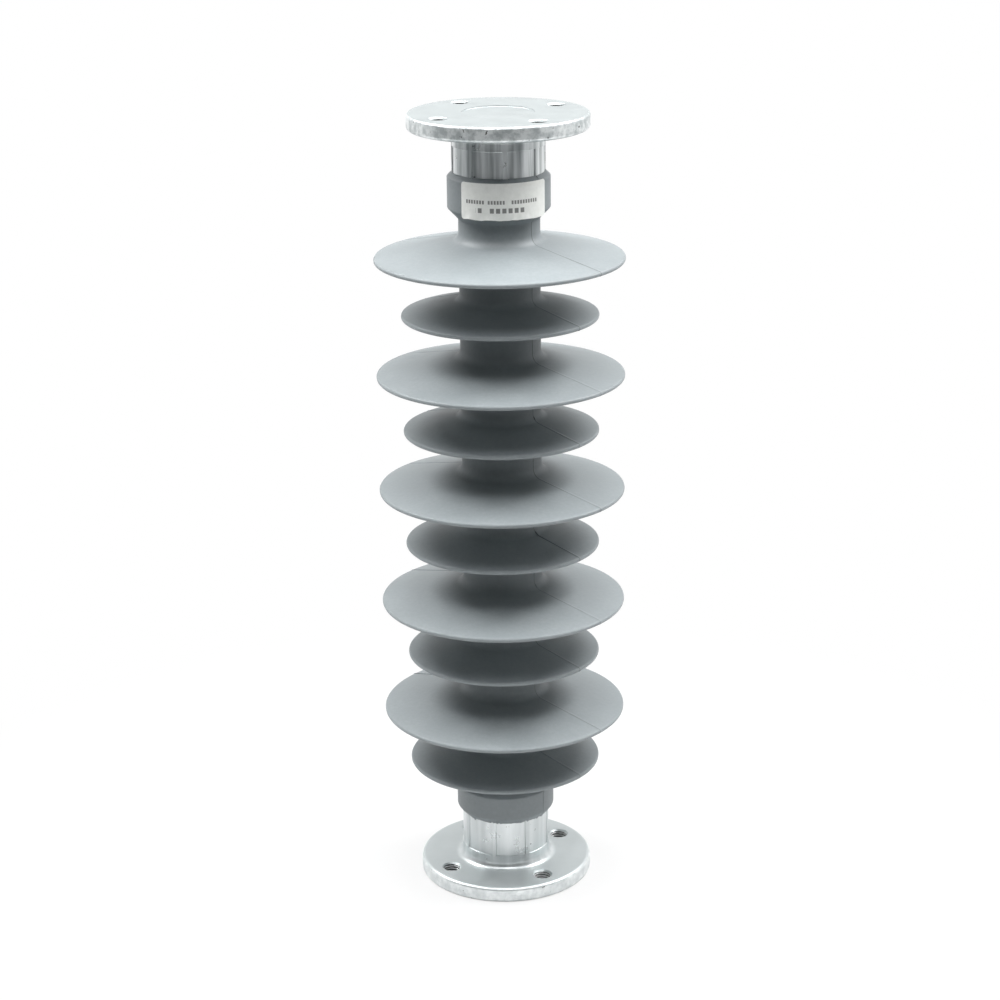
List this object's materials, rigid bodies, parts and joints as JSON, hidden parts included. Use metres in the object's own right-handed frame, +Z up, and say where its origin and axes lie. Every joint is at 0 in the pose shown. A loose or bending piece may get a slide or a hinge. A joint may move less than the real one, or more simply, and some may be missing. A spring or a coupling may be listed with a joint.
{
  "type": "composite post insulator",
  "caption": "Composite post insulator with a crimped core rod, alternating silicone rubber sheds and a round bolting flange at each end.",
  "frame": {"origin": "centre of the lower mounting face, where the insulator stands on its support", "axes": "+Z up along the insulator's axis to the upper mounting face; the flange bolts stand at 45 degrees to +X and +Y"},
  "size_m": [0.1543, 0.1544, 0.5],
  "materials": {
    "galvanised_steel": "satin",
    "glass_fibre_rod": "matte",
    "silicone_rubber": "matte",
    "label_paper": "matte"
  },
  "bodies": {
    "root": {"bottom_flange_fitting": "galvanised_steel", "top_flange_fitting": "galvanised_steel", "core_rod": "glass_fibre_rod", "silicone_housing": "silicone_rubber", "collar_label": "label_paper"}
  },
  "joints": []
}
